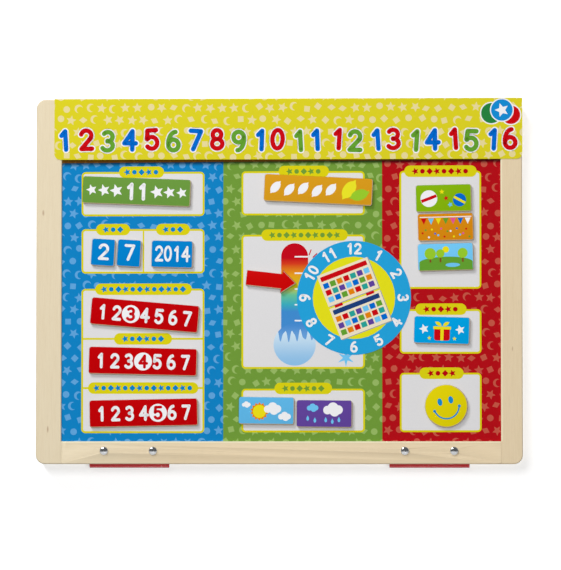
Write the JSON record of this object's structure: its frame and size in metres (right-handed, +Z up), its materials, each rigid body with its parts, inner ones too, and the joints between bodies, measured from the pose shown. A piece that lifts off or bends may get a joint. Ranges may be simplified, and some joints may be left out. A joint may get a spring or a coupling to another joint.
{
  "type": "magnetic calendar board",
  "caption": "Two wooden-framed magnetic boards folded back to back on red straps, with loose picture tiles on a printed calendar.",
  "frame": {"origin": "midway between the two hanging holes in the front board's top rail, on the front board's rear face", "axes": "+Z up, the calendar faces -Y, +X to the right as seen from the front"},
  "size_m": [0.4063, 0.0291, 0.3097],
  "materials": {
    "frame_wood": "satin",
    "hardboard": "matte",
    "steel_sheet": "satin",
    "calendar_print": "satin",
    "storage_print": "satin",
    "strap": "gloss",
    "rivet": "polished",
    "header_card": "satin",
    "sticker": "gloss",
    "magnet_sheet": "matte",
    "tile_green": "satin",
    "tile_blue": "satin",
    "tile_red": "satin",
    "tile_orange": "satin",
    "tile_light_blue": "satin",
    "tile_purple": "satin",
    "tile_yellow": "satin"
  },
  "bodies": {
    "front_board": {"front_left_stile": "frame_wood", "front_right_stile": "frame_wood", "front_top_rail": "frame_wood", "front_bottom_rail": "frame_wood", "front_printed_face": "calendar_print", "front_steel_sheet": "steel_sheet", "front_backing_panel": "hardboard", "front_rivet_1": "rivet", "front_rivet_2": "rivet", "front_rivet_3": "rivet", "front_rivet_4": "rivet", "left_strap": "strap", "right_strap": "strap", "round_sticker": "sticker"},
    "rear_board": {"rear_left_stile": "frame_wood", "rear_right_stile": "frame_wood", "rear_top_rail": "frame_wood", "rear_bottom_rail": "frame_wood", "rear_printed_face": "storage_print", "rear_steel_sheet": "steel_sheet", "rear_backing_panel": "hardboard", "rear_rivet_1": "rivet", "rear_rivet_2": "rivet", "rear_rivet_3": "rivet", "rear_rivet_4": "rivet", "stored_wide_tiles": "tile_green", "stored_small_tiles": "tile_light_blue"},
    "header": {"header_card": "header_card"},
    "month": {"month_tile": "tile_green", "month_magnet": "magnet_sheet"},
    "tens_digit": {"tens_digit_tile": "tile_blue", "tens_digit_magnet": "magnet_sheet"},
    "ones_digit": {"ones_digit_tile": "tile_blue", "ones_digit_magnet": "magnet_sheet"},
    "year": {"year_tile": "tile_blue", "year_magnet": "magnet_sheet"},
    "yesterday": {"yesterday_tile": "tile_red", "yesterday_magnet": "magnet_sheet"},
    "today": {"today_tile": "tile_red", "today_magnet": "magnet_sheet"},
    "tomorrow": {"tomorrow_tile": "tile_red", "tomorrow_magnet": "magnet_sheet"},
    "season": {"season_tile": "tile_orange", "season_magnet": "magnet_sheet"},
    "weather_left": {"weather_left_tile": "tile_light_blue", "weather_left_magnet": "magnet_sheet"},
    "weather_right": {"weather_right_tile": "tile_purple", "weather_right_magnet": "magnet_sheet"},
    "activity_upper": {"activity_upper_tile": "tile_green", "activity_upper_magnet": "magnet_sheet"},
    "activity_middle": {"activity_middle_tile": "tile_orange", "activity_middle_magnet": "magnet_sheet"},
    "activity_lower": {"activity_lower_tile": "tile_light_blue", "activity_lower_magnet": "magnet_sheet"},
    "holiday": {"holiday_tile": "tile_blue", "holiday_magnet": "magnet_sheet"},
    "feeling": {"feeling_tile": "tile_yellow", "feeling_magnet": "magnet_sheet"},
    "temperature_arrow": {"temperature_arrow_tile": "tile_red", "temperature_arrow_magnet": "magnet_sheet"}
  },
  "joints": [
    {"name": "fold", "type": "hinge", "parent": "front_board", "child": "rear_board", "pos_m": [0, 0.0015, -0.29982], "axis": [-1, 0, 0], "range_deg": [0, 180], "deforming": ["left_strap", "right_strap"]},
    {"name": "header_lift", "type": "slide", "parent": "front_board", "child": "header", "axis": [0, 0, 1], "range_m": [0, 0.06]},
    {"name": "month_lift", "type": "slide", "parent": "front_board", "child": "month", "axis": [0, -1, 0], "range_m": [0, 0.03]},
    {"name": "tens_digit_lift", "type": "slide", "parent": "front_board", "child": "tens_digit", "axis": [0, -1, 0], "range_m": [0, 0.03]},
    {"name": "ones_digit_lift", "type": "slide", "parent": "front_board", "child": "ones_digit", "axis": [0, -1, 0], "range_m": [0, 0.03]},
    {"name": "year_lift", "type": "slide", "parent": "front_board", "child": "year", "axis": [0, -1, 0], "range_m": [0, 0.03]},
    {"name": "yesterday_lift", "type": "slide", "parent": "front_board", "child": "yesterday", "axis": [0, -1, 0], "range_m": [0, 0.03]},
    {"name": "today_lift", "type": "slide", "parent": "front_board", "child": "today", "axis": [0, -1, 0], "range_m": [0, 0.03]},
    {"name": "tomorrow_lift", "type": "slide", "parent": "front_board", "child": "tomorrow", "axis": [0, -1, 0], "range_m": [0, 0.03]},
    {"name": "season_lift", "type": "slide", "parent": "front_board", "child": "season", "axis": [0, -1, 0], "range_m": [0, 0.03]},
    {"name": "weather_left_lift", "type": "slide", "parent": "front_board", "child": "weather_left", "axis": [0, -1, 0], "range_m": [0, 0.03]},
    {"name": "weather_right_lift", "type": "slide", "parent": "front_board", "child": "weather_right", "axis": [0, -1, 0], "range_m": [0, 0.03]},
    {"name": "activity_upper_lift", "type": "slide", "parent": "front_board", "child": "activity_upper", "axis": [0, -1, 0], "range_m": [0, 0.03]},
    {"name": "activity_middle_lift", "type": "slide", "parent": "front_board", "child": "activity_middle", "axis": [0, -1, 0], "range_m": [0, 0.03]},
    {"name": "activity_lower_lift", "type": "slide", "parent": "front_board", "child": "activity_lower", "axis": [0, -1, 0], "range_m": [0, 0.03]},
    {"name": "holiday_lift", "type": "slide", "parent": "front_board", "child": "holiday", "axis": [0, -1, 0], "range_m": [0, 0.03]},
    {"name": "feeling_lift", "type": "slide", "parent": "front_board", "child": "feeling", "axis": [0, -1, 0], "range_m": [0, 0.03]},
    {"name": "arrow_slide", "type": "slide", "parent": "front_board", "child": "temperature_arrow", "axis": [0, 0, 1], "range_m": [-0.058, 0.024]}
  ]
}
